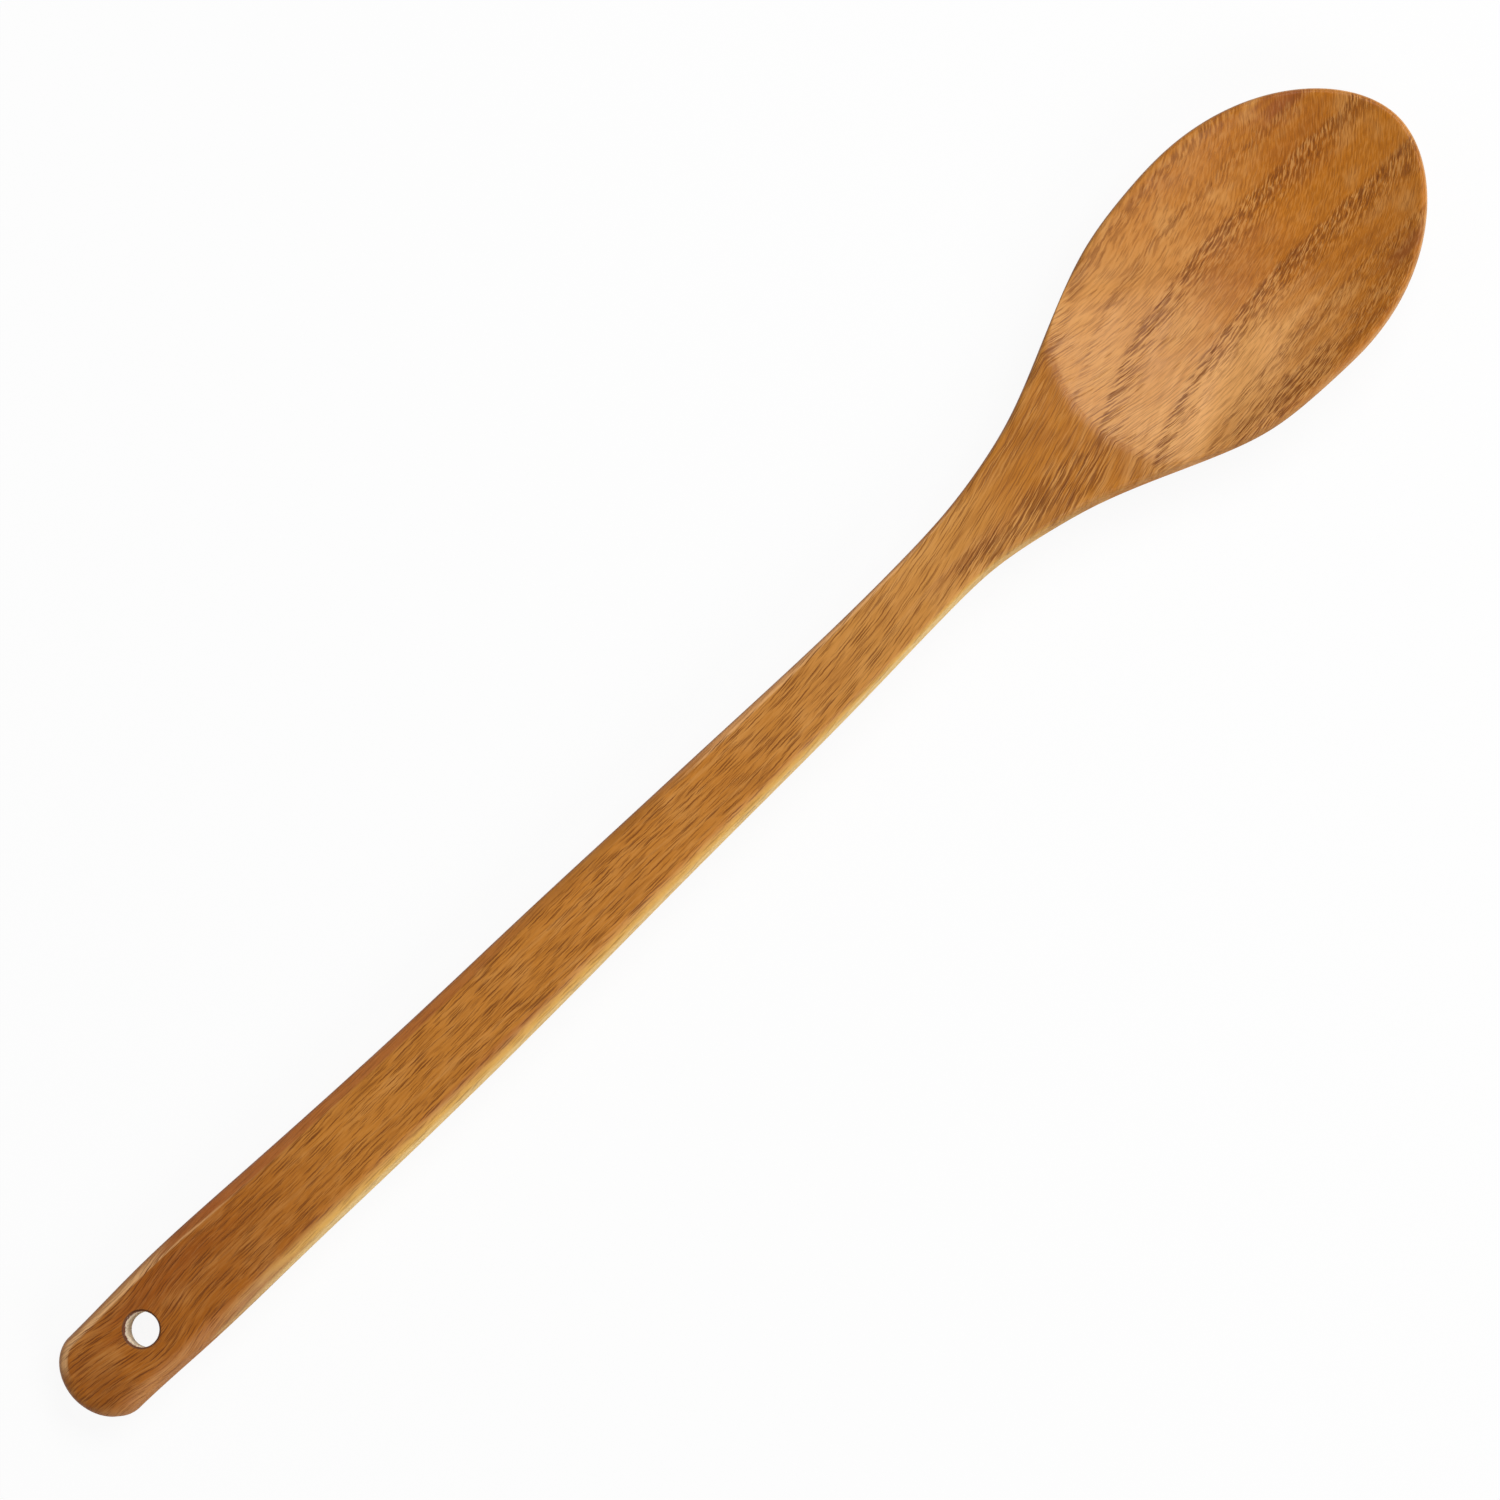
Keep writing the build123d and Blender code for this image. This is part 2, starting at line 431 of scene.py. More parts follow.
@dataclass
class SpoonBody:
    """The spoon itself: handle, neck, bowl and hanging hole, as one closed skin.

    A span is where the stations' spacing changes, in millimetres from the hole end. At places
    along the spoon, the turns are angles of the grain's lines in degrees, and the paces are how
    fast its coordinate runs there, which shortens its pores.
    """

    form: SpoonForm = field(default_factory=SpoonForm)
    edges: WornEdges = field(default_factory=WornEdges)
    name: str = "spoon_wood"
    body_stations: int = 250
    tip_stations: int = 92
    end_stations: int = 24
    upper_rings: int = 46
    lower_rings: int = 24
    wall_rings: int = 3
    bore_rings: int = 13
    upper_offsets: tuple[float, ...] = (
        0.05, 0.14, 0.28, 0.46, 0.68, 0.95, 1.25, 1.6, 1.95, 2.3, 2.6, 2.9, 3.2, 3.6
    )
    lower_offsets: tuple[float, ...] = (0.05, 0.16, 0.34, 0.58, 0.9, 1.25, 1.65, 2.2)
    line_samples: int = 4000
    end_spacing: float = 0.75
    handle_spacing: float = 2.0
    bowl_spacing: float = 0.5
    handle_span: Span = (24.0, 50.0)
    bowl_span: Span = (215.0, 262.0)
    evenness: Pair = (0.5, 1.6)
    hole_approach: float = 30.0
    bore_edge_turns: tuple[float, ...] = (18, 36, 54, 72, 90)
    bore_roughness: float = 0.03
    hand_depth: float = 0.05
    hand_length: float = 13.0
    hand_width: float = 7.0
    grain_origin: float = 150.0
    grain_samples: int = 2000
    pore_turns: Pairs = ((-180, 0), (-60, 1), (10, 3), (40, 10), (65, 15), (90, 17), (180, 16))
    pore_paces: Pairs = (
        (-180, 0.85), (-20, 0.85), (40, 0.7), (90, 0.6), (110, 0.8), (125, 1.2), (145, 2.0), (180, 2.2)
    )
    figure_turns: Pairs = (
        (-180, -1), (20, 1), (60, 3), (80, 6), (88, 20), (95, 34), (102, 30), (110, 20), (118, 12),
        (132, 4), (145, 0), (180, -1),
    )
    sheet_lean: float = 1.6
    sheet_share: float = 0.7
    hole_bend: float = 2.4
    hole_bend_length: float = 9.0
    hollow_border: float = 0.22
    hollow_floor: float = 9.0

    def _places(self) -> Array:
        """Returns places along the spoon between its rounded end and its widest place."""
        form = self.form
        x = np.linspace(form.end_round_x, form.widest_x, self.line_samples)
        from_end = x - form.end_x
        spacing = blend(self.end_spacing, self.handle_spacing, soft_step(*self.handle_span, from_end))
        spacing = blend(spacing, self.bowl_spacing, soft_step(*self.bowl_span, from_end))
        travel = running_sum(np.diff(x) / spacing[1:])
        return np.interp(np.linspace(0, travel[-1], self.body_stations + 1), travel, x)

    def _side(self, side: Side) -> Array:
        """Returns the outline along one side, from the middle of the hole end to the tip."""
        form = self.form
        turn = np.linspace(0, math.pi / 2, self.end_stations + 1)[:-1]
        end = np.column_stack([
            form.end_round_x - form.end_round_length * np.cos(turn),
            form.end_sway + side.value * form.end_width / 2 * np.sin(turn),
        ])
        x = self._places()
        body = np.column_stack([x, form.side_line(x, side)])
        t = np.linspace(0, 1, self.tip_stations + 1)[1:]
        return np.vstack([end, body, form.tip_side(form.widest_from_tip, form.bowl_half, side, t)])

    def _outline(self) -> tuple[Array, Array, Array]:
        """Works out the closed outline.

        Returns:
            Its points in order, the inward direction at each, and each point's side from -1 to 1.
        """
        left, right = self._side(Side.LEFT), self._side(Side.RIGHT)
        points = np.vstack([left, right[-2:0:-1]])
        along = np.roll(points, -1, 0) - np.roll(points, 1, 0)
        along /= np.linalg.norm(along, axis=1)[:, None]
        inward = np.column_stack([along[:, 1], -along[:, 0]])
        half = np.interp(points[:, 0], [self.form.end_x, self.form.end_round_x], [0.0, 1.0])
        side = np.where(np.arange(len(points)) < len(left), 1.0, -1.0) * np.sqrt(1 - (1 - half) ** 2)
        side[0] = 0.0
        return points, inward, side

    def _heart(self, points: Array) -> Array:
        """Works out the line inside the outline that both sides close on.

        It is the spoon's middle, and round the hanging hole it is the hole's edge.

        Args:
            points: The outline's points in order.

        Returns:
            The line's point for each point of the outline.
        """
        form = self.form
        last = len(points) // 2
        ring = form.hole_radius + form.hole_edge_radius
        start_x = form.hole_x + ring
        half = points[: last + 1]
        x = half[:, 0]
        reach = math.sqrt(1 - (form.bowl_half / form.widest_from_tip) ** 2)
        heart_x = np.where(x > form.widest_x, blend(form.widest_x, x, reach), x)
        near = 1 - soft_step(start_x, start_x + self.hole_approach, heart_x)
        heart_y = blend(form.middle(heart_x), form.hole_y, near)
        heart_y = heart_y + np.interp(heart_x, [form.widest_x, form.tip_x], [0.0, form.tip_sway])
        first = int(np.searchsorted(x, start_x))
        travel = running_sum(np.hypot(*np.diff(half[: first + 1], axis=0).T))
        turn = math.pi * (1 - travel / travel[-1])
        heart = np.column_stack([heart_x, heart_y])
        heart[: first + 1, 0] = form.hole_x + ring * np.cos(turn)
        heart[: first + 1, 1] = form.hole_y + ring * np.sin(turn)
        other = heart[1:last][::-1].copy()
        mirrored = np.arange(1, last)[::-1] <= first
        other[mirrored, 1] = 2 * form.hole_y - other[mirrored, 1]
        return np.vstack([heart, other])

    def _face_rings(self, face: Face) -> list[Array]:
        """Works out the rings of one broad face, from its outer edge to the heart line.

        Args:
            face: Which face of the spoon.

        Returns:
            One array a ring, with a row per point and the columns that Column names.
        """
        form = self.form
        points, inward, side = self.outline
        upper = face is Face.UPPER
        offsets = self.upper_offsets if upper else self.lower_offsets
        inner_count = self.upper_rings if upper else self.lower_rings
        plans = [(points, np.zeros(len(points)))]
        plans += [(points + inward * offset, np.full(len(points), offset)) for offset in offsets]
        base = plans[-1][0]
        span = np.linalg.norm(self.heart - base, axis=1)
        first = offsets[-1] - offsets[-2]
        even = np.clip(first * inner_count / np.maximum(span, TINY), *self.evenness)
        for i in range(1, inner_count + 1):
            share = i / inner_count
            share = share * blend(even, 1, share)
            plans.append((blend(base, self.heart, share[:, None]), offsets[-1] + share * span))
        rings = []
        for plan, distance in plans:
            x, y = plan.T
            if upper:
                width, drop, flat = self.edges.at(points[:, 0], side, form)
                lowering = self.edges.lowering(distance, width, drop, flat)
                wave = np.sin(x / self.hand_length + 1.3) * np.sin(y / self.hand_width + 0.4)
                hand = self.hand_depth * (wave - 1)
                height = soft_min(form.top_line(x) - lowering, form.hollow(x, y), form.crease) + hand
                edge = np.clip(lowering / drop, 0, 1)
            else:
                edge = np.clip(1 - distance / form.under_edge_radius, 0, 1)
                height = form.underside(x, y) + form.under_edge_radius * (1 - np.sqrt(1 - edge**2))
            rings.append(np.column_stack([x, y, height, distance, edge, np.zeros(len(x))]))
        return rings

    def build(self) -> bpy.types.Object:
        """Builds the spoon's skin ring by ring from its outline, and returns the object."""
        self.outline = self._outline()
        points, _, side = self.outline
        self.heart = self._heart(points)
        upper, lower = self._face_rings(Face.UPPER), self._face_rings(Face.LOWER)
        fall = upper[0][:, Column.Z] - lower[0][:, Column.Z]
        for ring in lower:
            ring[:, Column.FALL] = fall * (1 - ring[:, Column.AWAY] / lower[-1][:, Column.AWAY])
        bm = bmesh.new()
        station = bm.verts.layers.int.new("station")
        edge_layer = bm.verts.layers.float.new("edge")
        side_layer = bm.verts.layers.float.new("side")
        fall_layer = bm.verts.layers.float.new("fall")
        loop = bmesh.ops.create_circle(bm, cap_ends=False, segments=len(points), radius=1.0)["verts"]
        for i, vert in enumerate(loop):
            vert[station] = i

        def place(verts: Sequence[BMVert], ring: Array) -> None:
            """Moves the vertices of one ring to their places.

            Args:
                verts: The vertices.
                ring: The ring's rows, one for each station.
            """
            for vert in verts:
                i = vert[station]
                vert.co = ring[i, Column.X] * MM, ring[i, Column.Y] * MM, ring[i, Column.Z] * MM
                vert[edge_layer] = ring[i, Column.EDGE]
                vert[fall_layer] = ring[i, Column.FALL]
                vert[side_layer] = side[i]

        def grow(edges: list[BMEdge], rings: Sequence[Array]) -> tuple[list, list]:
            """Extrudes an open loop through rings.

            Args:
                edges: The loop's edges.
                rings: The rings, in order away from the loop.

            Returns:
                The last ring's edges and its vertices.
            """
            verts: list[BMVert] = []
            for ring in rings:
                made = bmesh.ops.extrude_edge_only(bm, edges=edges)["geom"]
                verts = [item for item in made if isinstance(item, BMVert)]
                fresh = set(verts)
                made = [item for item in made if isinstance(item, BMEdge)]
                edges = [item for item in made if fresh.issuperset(item.verts)]
                place(verts, ring)
            return edges, verts

        start_edges = list(bm.edges)
        shares = np.arange(1, self.wall_rings + 1) / (self.wall_rings + 1)
        walls = [blend(lower[0], upper[0], share) for share in shares]
        middle = len(walls) // 2
        place(loop, walls[middle])
        ways = (walls[middle + 1 :] + upper, walls[:middle][::-1] + lower)
        for verts in [grow(start_edges, way)[1] for way in ways]:
            bmesh.ops.remove_doubles(bm, verts=verts, dist=MERGE_DISTANCE)
        self._line_hole(bm, grow, upper[-1], lower[-1])
        bmesh.ops.recalc_face_normals(bm, faces=bm.faces)
        mesh = bpy.data.meshes.new(self.name)
        bm.to_mesh(mesh)
        bm.free()
        mesh.shade_smooth()
        self._lay_grain(mesh)
        piece = bpy.data.objects.new(self.name, mesh)
        bpy.context.scene.collection.objects.link(piece)
        return piece

    def _lay_grain(self, mesh: bpy.types.Mesh) -> None:
        """Stores the wood's own coordinates in the skin, along and across its grain.

        The pores lie in sheets that lean over in the bowl, so a sloping surface cuts them in
        lines that turn with its slope. The figure of the growth rings has a line of its own.

        Args:
            mesh: The finished skin.
        """
        form = self.form
        place = np.zeros(len(mesh.vertices) * 3)
        mesh.vertices.foreach_get("co", place)
        x, y, z = place.reshape(-1, 3).T / MM
        fall = np.zeros(len(x))
        mesh.attributes["fall"].data.foreach_get("value", fall)
        above_floor = z > form.rim_height - self.hollow_floor
        inside = soft_step(0.0, self.hollow_border, form.rim_height - form.hollow(x, y)) * above_floor
        mesh.attributes.new("hollow", "FLOAT", "POINT").data.foreach_set("value", inside)
        depth = form.rim_height - form.hollow(x, self.sheet_share * y)
        lean = self.sheet_lean * np.maximum(depth, 0.0)
        bend = self.hole_bend * np.exp(-(((x - form.hole_x) / self.hole_bend_length) ** 2))
        for name, turns, shift in (
            ("grain", self.pore_turns, lean + bend),
            ("figure", self.figure_turns, bend),
        ):
            knots, degrees = np.array(turns).T
            line = np.linspace(knots[0], knots[-1], self.grain_samples)
            slope = np.tan(np.radians(cubic_line(knots, degrees, line, LEVEL)))
            drift = running_sum(slope[1:] * np.diff(line))
            drift -= np.interp(self.grain_origin, line, drift)
            travel, across, down = x, y - np.interp(x, line, drift) + shift, z
            if name == "grain":
                down = 0.1 * z - fall
                pace = cubic_line(*np.array(self.pore_paces).T, line, LEVEL)
                travel = np.interp(x, line, running_sum(pace[1:] * np.diff(line)))
            vector = np.column_stack([travel, across, down])
            mesh.attributes.new(name, "FLOAT_VECTOR", "POINT").data.foreach_set("vector", vector.ravel())

    def _line_hole(self, bm: BMesh, grow: Callable, upper: Array, lower: Array) -> None:
        """Closes the hanging hole with its rounded edges and its rough wall.

        Args:
            bm: The skin, open only at the hole's two edges.
            grow: The function that extrudes a loop through rings.
            upper: The upper face's last ring.
            lower: The lower face's last ring.
        """
        form = self.form
        edge = form.hole_edge_radius
        centre = np.array([form.hole_x, form.hole_y])
        spoke = upper[:, :2] - centre
        spoke = spoke / np.maximum(np.linalg.norm(spoke, axis=1), TINY)[:, None]
        turn = np.arctan2(spoke[:, 1], spoke[:, 0])
        top, base = upper[:, Column.Z], lower[:, Column.Z]
        rounds = [
            (form.hole_radius + edge * (1 - math.sin(angle)), edge * (1 - math.cos(angle)))
            for angle in np.radians(self.bore_edge_turns)
        ]
        rings = [(radius, top - depth, 0.0) for radius, depth in rounds]
        for share in np.arange(1, self.bore_rings + 1) / (self.bore_rings + 1):
            rings.append((form.hole_radius, blend(top - edge, base + edge, share), math.sin(math.pi * share)))
        rings += [(radius, base + depth, 0.0) for radius, depth in reversed(rounds)]
        rough = np.random.default_rng(7)
        plans = []
        for radius, heights, torn in rings:
            wander = np.sin(9 * turn + 3 * torn) + np.sin(23 * turn + 1.7) + rough.random(len(turn))
            spread = radius + torn * self.bore_roughness * wander
            plan = centre + spoke * spread[:, None]
            plans.append(np.column_stack([plan, heights, np.zeros((len(turn), 3))]))
        halfway = form.end_height / 2 * MM
        open_edges = [item for item in bm.edges if item.is_boundary]
        top_loop = [item for item in open_edges if item.verts[0].co.z > halfway]
        low_loop = [item for item in open_edges if item.verts[0].co.z <= halfway]
        last_loop, _ = grow(top_loop, plans)
        bmesh.ops.bridge_loops(bm, edges=last_loop + low_loop)


# Shader expressions


@dataclass(frozen=True)
class Lumps:
    """A noise: its lumps per unit along three axes, its shift, its detail and its roughness."""

    scale: Triple
    shift: Triple = (0, 0, 0)
    detail: float = 1.0
    roughness: float = 0.5


@dataclass(frozen=True)
class Value:
    """A socket that can stand in Python expressions; each one adds its Math nodes."""

    sheet: "ShaderSheet"
    socket: bpy.types.NodeSocket

    def __add__(self, other: "Number | Value") -> "Value":
        """Adds."""
        return self.sheet.math("ADD", self, other)

    __radd__ = __add__

    def __mul__(self, other: "Number | Value") -> "Value":
        """Multiplies."""
        return self.sheet.math("MULTIPLY", self, other)

    __rmul__ = __mul__

    def __sub__(self, other: "Number | Value") -> "Value":
        """Takes away."""
        return self.sheet.math("SUBTRACT", self, other)

    def __rsub__(self, other: "Number | Value") -> "Value":
        """Is taken away from a number."""
        return self.sheet.math("SUBTRACT", other, self)

    def step(self, low: float, high: float, bottom: float = 0.0, top: float = 1.0) -> "Value":
        """Returns an even change from bottom to top while this value goes from low to high."""
        inputs = {"Value": self, "From Min": low, "From Max": high, "To Min": bottom, "To Max": top}
        return self.sheet.node("MapRange", {"interpolation_type": "SMOOTHSTEP"}, inputs)

    def between(self, start: float, full: float, fade: float, end: float) -> "Value":
        """Returns 1 from full to fade, with an even slope to 0 at start and at end."""
        return self.step(start, full) * self.step(end, fade)


@dataclass
class ShaderSheet:
    """The node tree of one material or world, with one method that adds any node."""

    owner: Union[bpy.types.Material, bpy.types.World]

    def __post_init__(self) -> None:
        """Empties the tree."""
        self.owner.use_nodes = True
        self.tree = self.owner.node_tree
        self.tree.nodes.clear()

    def node(
        self,
        kind: str,
        settings: Optional[dict] = None,
        inputs: Optional[dict] = None,
        output: Union[int, str] = 0,
    ) -> Value:
        """Adds a node.

        Args:
            kind: Its type, without the ShaderNode at the front.
            settings: Its settings; stops are a ramp's places and colours.
            inputs: Values or links of its sockets, by name or number.
            output: Which output to return.

        Returns:
            The chosen output.
        """
        made = self.tree.nodes.new("ShaderNode" + kind)
        for key, value in (settings or {}).items():
            if key == "stops":
                elements = made.color_ramp.elements
                while len(elements) < len(value):
                    elements.new(1.0)
                for element, (place, colour) in zip(elements, value):
                    element.position = place
                    element.color = (*colour, 1.0)
            else:
                setattr(made, key, value)
        for key, value in (inputs or {}).items():
            if isinstance(value, Value):
                self.tree.links.new(value.socket, made.inputs[key])
            else:
                made.inputs[key].default_value = value
        return Value(self, made.outputs[output])

    def math(self, operation: str, a: "Number | Value", b: "Number | Value" = 0.0) -> Value:
        """Adds a Math node."""
        return self.node("Math", {"operation": operation}, {0: a, 1: b})

    def mix(self, factor: "Number | Value", a: "Colour | Value", b: "Colour | Value") -> Value:
        """Mixes two colours."""
        sides = [(*side, 1.0) if isinstance(side, tuple) else side for side in (a, b)]
        settings = {"data_type": "RGBA", "blend_type": "MIX", "clamp_factor": True}
        return self.node("Mix", settings, {0: factor, 6: sides[0], 7: sides[1]}, 2)

    def paint(self, colour: Value, coats: Sequence[tuple[Value, Colour]]) -> Value:
        """Lays coats over a colour in turn, each as thick as its own mask says.

        Args:
            colour: The colour underneath.
            coats: The mask and the colour of each coat, from the lowest to the uppermost.

        Returns:
            The painted colour.
        """
        for mask, coat in coats:
            colour = self.mix(mask, colour, coat)
        return colour

    def stretch(self, vector: Value, scale: Sequence[float], shift: Sequence[float] = (0, 0, 0)) -> Value:
        """Scales a vector along its three axes, then moves it."""
        return self.node("VectorMath", {"operation": "MULTIPLY_ADD"}, {0: vector, 1: scale, 2: shift})

    def length(self, vector: Value) -> Value:
        """Returns a vector's length."""
        return self.node("VectorMath", {"operation": "LENGTH"}, {0: vector}, "Value")

    def noise(self, vector: Value, lumps: Lumps) -> Value:
        """Adds a noise that varies over a vector."""
        inputs = {"Vector": self.stretch(vector, lumps.scale, lumps.shift), "Scale": 1.0}
        inputs |= {"Detail": lumps.detail, "Roughness": lumps.roughness}
        return self.node("TexNoise", {"noise_dimensions": "3D"}, inputs)

    def part(self, vector: Value, axis: str) -> Value:
        """Returns one of a vector's three values."""
        return self.node("SeparateXYZ", {}, {0: vector}, axis)

    def rise(self) -> Value:
        """Returns how far the surface faces up, from -1 to 1."""
        return self.part(self.node("NewGeometry", output="Normal"), "Z")

    def attribute(self, name: str, output: str = "Fac") -> Value:
        """Reads one of the piece's own attributes."""
        return self.node("Attribute", {"attribute_name": name}, {}, output)

    def seen(self) -> Value:
        """Returns 1 for what the camera sees, straight, mirrored or through glass, and 0 otherwise."""
        kinds = ("Camera", "Glossy", "Transmission")
        rays = [self.node("LightPath", output=f"Is {kind} Ray") for kind in kinds]
        return self.math("MINIMUM", rays[0] + rays[1] + rays[2], 1.0)

    def show(self, surface: Value) -> None:
        """Links a shader to the output."""
        kind = "World" if isinstance(self.owner, bpy.types.World) else "Material"
        made = self.tree.nodes.new("ShaderNodeOutput" + kind)
        self.tree.links.new(surface.socket, made.inputs["Surface"])


@dataclass
class WoodSheet(ShaderSheet):
    """A sheet with the place on the spoon in millimetres and the wood's own coordinates."""

    def __post_init__(self) -> None:
        """Empties the tree and reads the coordinates."""
        super().__post_init__()
        self.place = self.stretch(self.node("TexCoord", output="Object"), (1 / MM,) * 3)
        self.along = self.part(self.place, "X")
        self.figure = self.attribute("figure", "Vector")
        self.edge = self.attribute("edge")


def linear(red: float, green: float, blue: float) -> Colour:
    """Returns the linear colour for red, green and blue as a screen shows them, from 0 to 255."""

    def channel(value: float) -> float:
        """Converts one channel."""
        share = value / 255
        return share / 12.92 if share <= 0.04045 else ((share + 0.055) / 1.055) ** 2.4

    return channel(red), channel(green), channel(blue)


# The wood


@dataclass(frozen=True)
class GrowthRing:
    """One growth ring's row of open pores, with a crisp start and a slow fade."""

    place: float
    fade: float
    strength: float
    start: float = 1.0


@dataclass(frozen=True)
class Patch:
    """A soft patch of the wood, with its place and size in millimetres."""

    x: float
    y: float
    length: float
    width: float
    strength: float
    colour: Colour = (0.0, 0.0, 0.0)

    def away(self, sheet: WoodSheet) -> Value:
        """Returns how far a place lies from the patch's centre, as a share of the patch's size."""
        scale = (1 / self.length, 1 / self.width, 0)
        return sheet.length(sheet.stretch(sheet.place, scale, (-self.x * scale[0], -self.y * scale[1], 0)))


@dataclass(frozen=True)
class Pores:
    """Separate fine pores along the grain: their spacing along and across it in millimetres."""

    length: float
    width: float
    reach: float
    strength: float
    core: float = 0.45

    def mask(self, sheet: ShaderSheet, grain: Value) -> Value:
        """Places the pores in the cells of a stretched pattern.

        Args:
            sheet: The material's sheet.
            grain: The wood's coordinates along and across its grain.

        Returns:
            The pores' strength in the middle of a pore, 0 beside it.
        """
        scale = (1 / self.length, 1 / self.width, 1 / self.width)
        inputs = {"Vector": sheet.stretch(grain, scale, (self.length, self.width, 2)), "Scale": 1.0}
        away = sheet.node("TexVoronoi", {"voronoi_dimensions": "3D"}, inputs, "Distance")
        return away.step(self.reach, self.reach * self.core) * self.strength


@dataclass(frozen=True)
class OiledHardwood:
    """Golden brown hardwood with fine dark pores, oiled to a satin sheen.

    A zone is where a change sets in along the spoon, and where it ends, if it does: start, full,
    fade and end, in millimetres from the spoon's middle.
    """

    name: str = "oiled_hardwood"
    roughness: float = 0.43
    shine: float = 0.22
    end_brown: Colour = linear(164, 94, 20)
    golden: Colour = linear(190, 121, 42)
    honey: Colour = linear(197, 134, 60)
    neck_gold: Colour = linear(180, 112, 30)
    # Colour of the painted sheen in the hollow's half nearer the neck
    hollow_sheen_colour: Colour = linear(222, 162, 94)
    # Tone of the hollow's half nearer the neck: tan wood lightened with painted sheen
    hollow_tan_and_sheen: Colour = linear(190, 127, 58)
    tip_brown: Colour = linear(180, 108, 22)
    pale: Colour = linear(217, 160, 92)
    dark: Colour = linear(128, 68, 12)
    pore: Colour = linear(108, 54, 2)
    facet_and_highlight: Colour = linear(252, 194, 130)
    reddish_and_shade: Colour = linear(176, 92, 42)
    sapwood_and_highlight: Colour = linear(240, 190, 98)
    cream_highlight: Colour = linear(254, 224, 158)
    bore: Colour = linear(255, 240, 216)
    bore_shade: Colour = linear(112, 60, 34)
    bore_edge: Colour = linear(62, 34, 12)
    tones: tuple[tuple[float, Colour], ...] = (
        (0.03, end_brown), (0.13, end_brown), (0.22, golden), (0.48, golden), (0.57, honey), (0.68, honey),
        (0.73, neck_gold), (0.76, neck_gold), (0.78, hollow_tan_and_sheen), (0.84, hollow_tan_and_sheen), (0.92, tip_brown),
    )
    rings: tuple[GrowthRing, ...] = (
        GrowthRing(-24.0, 3.0, 0.55),
        GrowthRing(-15.4, 4.5, 0.55),
        GrowthRing(-4.3, 6.0, 1.0),
        GrowthRing(9.3, 5.8, 0.9),
        GrowthRing(17.0, 2.2, 0.4),
        GrowthRing(25.5, 2.5, 0.5),
    )
    ring_span: float = 64.0
    stains_and_sheen: tuple[Patch, ...] = (
        Patch(-150.0, 5.5, 18.0, 4.5, 0.55, linear(138, 66, 4)),
        Patch(-172.0, 0.0, 6.0, 8.0, 0.55, linear(140, 76, 12)),
        Patch(-137.0, -8.6, 10.0, 1.3, 0.6, linear(138, 84, 60)),
        Patch(-74.0, -7.7, 20.0, 0.9, 0.4, linear(150, 84, 40)),
        Patch(166.0, 18.5, 10.0, 4.0, 0.7, linear(140, 70, 26)),
        Patch(162.0, -19.0, 9.0, 1.8, 0.6, linear(128, 66, 26)),
        Patch(60.0, -3.2, 13.0, 2.0, 0.28, linear(150, 88, 50)),
        # painted sheen: a pale patch on the hollow's right wall near the neck
        Patch(119.0, -14.0, 24.0, 9.0, 0.6, linear(232, 172, 104)),
        Patch(137.0, 3.0, 10.0, 8.0, 0.45, linear(158, 90, 24)),
        Patch(162.0, 10.0, 12.0, 8.0, 0.35, linear(158, 86, 18)),
    )
    clusters: tuple[Patch, ...] = (
        Patch(72.0, -5.0, 24.0, 3.2, 0.9),
        Patch(97.0, -3.5, 5.0, 4.0, 0.25),
        Patch(124.0, -23.0, 17.0, 3.6, 0.9),
        Patch(95.0, 14.5, 8.0, 2.0, 0.6),
        Patch(152.0, -21.5, 14.0, 2.5, 0.5),
    )
    long_pores: Pores = Pores(8.0, 0.44, 0.38, 0.85)
    short_pores: Pores = Pores(5.5, 0.30, 0.45, 0.60)
    broad: Lumps = Lumps((0.02, 0.06, 0.06), (3, 1, 7), 2.0)
    streaks: Lumps = Lumps((0.018, 0.85, 0.4), (0, 4, 2), 3.0, 0.6)
    clouds: Lumps = Lumps((0.11, 0.15, 0.10), (5, 2, 1), 2.0, 0.55)
    fraying: Lumps = Lumps((0.06, 0.6, 0.3), (7, 1, 3), 2.0)
    edge_streaks: Lumps = Lumps((0.03, 0.5, 0.3), (9, 2, 5), 2.0)
    long_swing: Lumps = Lumps((0.07, 0.22, 0.22), (2, 8, 5))
    short_swing: Lumps = Lumps((0.7, 0.9, 0.9), (6, 3, 5))
    wander: Lumps = Lumps((0.035, 0.06, 0.06), (8, 3, 2))
    ripple: Lumps = Lumps((0.35, 0.35, 0.35))
    net: Lumps = Lumps((0.30, 3.0, 3.0))
    dashes: Lumps = Lumps((0.24, 2.3, 2.3), (2, 6, 1))
    unevenness: Lumps = Lumps((0.10, 0.14, 0.12), (1, 9, 4))
    torn: Lumps = Lumps((1.1, 1.1, 0.5), (4, 4, 4), 3.0, 0.7)
    colour_sway: float = 40.0
    end_zone: Span = (-130.0, -155.0)
    neck_zone: Span = (30.0, 55.0)
    row_zone: Span = (40.0, 62.0)
    bowl_zone: Span = (90.0, 112.0)
    calm_zone: Span = (60.0, 100.0)
    hollow_sheen_zone: Span = (132.0, 98.0)
    tip_zone: Span = (110.0, 140.0)
    pale_zone: Span = (-137.0, -150.0)
    tan_zone: Span = (-110.0, -145.0)
    rim_highlight_zone: Span = (118.0, 150.0)
    ridge_highlight_end_zone: Span = (-110.0, -140.0)
    red_zone: Zone = (-150.0, -132.0, -90.0, -30.0)
    warm_zone: Zone = (-30.0, 0.0, 60.0, 80.0)
    ridge_highlight_zone: Zone = (-30.0, 0.0, 55.0, 70.0)
    far_zone: Zone = (-25.0, 10.0, 40.0, 60.0)
    sapwood_highlight_zone: Zone = (-150.0, -122.0, 40.0, 96.0)
